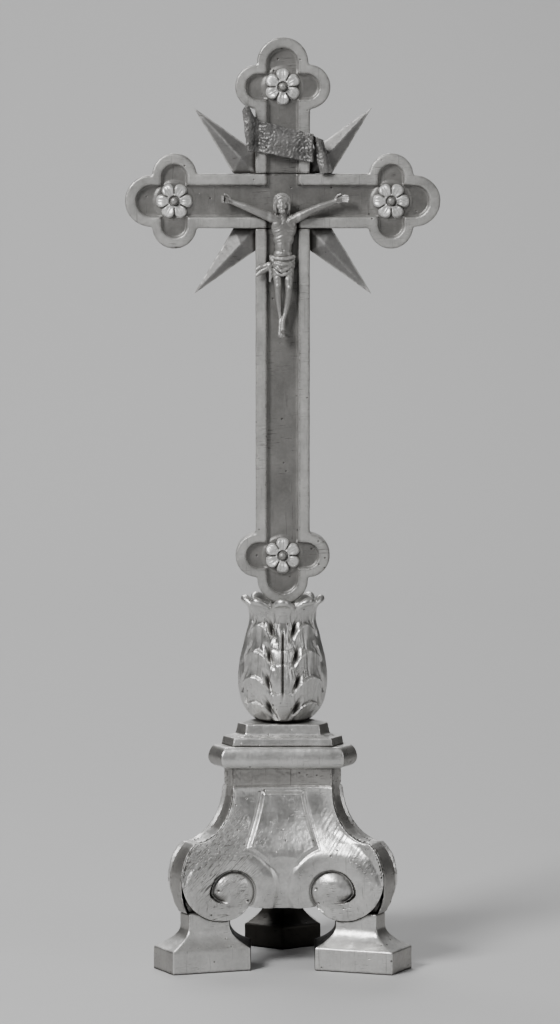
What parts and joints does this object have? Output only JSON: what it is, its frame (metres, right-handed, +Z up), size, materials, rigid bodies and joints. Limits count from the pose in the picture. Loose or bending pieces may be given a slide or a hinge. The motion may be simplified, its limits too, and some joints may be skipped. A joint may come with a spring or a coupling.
{
  "type": "altar cross",
  "caption": "Standing budded cross with rosettes, corner rays, a blank title scroll and a corpus, plugged into a leaf-carved knop on a scrolled three-footed stand.",
  "frame": {"origin": "where the stem's axis meets the plane that the three feet rest on", "axes": "+Z up along the stem, -Y towards the front that carries the corpus, +X to the viewer's right"},
  "size_m": [0.2028, 0.1451, 0.5999],
  "materials": {
    "silver_leaf": "carved wood under gesso and burnished silver leaf, rubbed at the edges",
    "cross_leaf": "carved wood, burnished silver leaf on the rim and a darker matt toned field",
    "rosette_leaf": "carved wood under bright silver leaf",
    "tarnished_leaf": "carved wood under tarnished silver leaf",
    "carved_figure": "carved wood under dulled leaf",
    "chased_metal": "thin chased sheet, darkened, stippled ground",
    "iron": "dark hand-made nails",
    "plain_wood": "bare hardwood"
  },
  "bodies": {
    "stand": {"foot_front_left": "silver_leaf", "foot_front_right": "silver_leaf", "foot_rear": "silver_leaf", "corner_post_front_left": "silver_leaf", "corner_post_front_right": "silver_leaf", "corner_post_rear": "silver_leaf", "face_board_front": "silver_leaf", "face_board_rear_left": "silver_leaf", "face_board_rear_right": "silver_leaf", "cap_ovolo": "silver_leaf", "cap_plate": "silver_leaf", "cap_top": "silver_leaf", "knop": "silver_leaf", "knop_wedge": "plain_wood"},
    "cross": {"upright": "cross_leaf", "crossbar": "cross_leaf", "rosette_top": "rosette_leaf", "rosette_bottom": "rosette_leaf", "rosette_left": "rosette_leaf", "rosette_right": "rosette_leaf", "rosette_nails": "iron", "ray_upper_left": "tarnished_leaf", "ray_upper_right": "tarnished_leaf", "ray_lower_left": "tarnished_leaf", "ray_lower_right": "tarnished_leaf", "title_scroll": "chased_metal", "title_nails": "iron", "corpus_body": "carved_figure", "corpus_arm_left": "carved_figure", "corpus_arm_right": "carved_figure", "corpus_nails": "iron"}
  },
  "joints": [
    {"name": "cross_lift", "type": "slide", "parent": "stand", "child": "cross", "axis": [0, 0, 1], "range_m": [0, 0.044]}
  ]
}
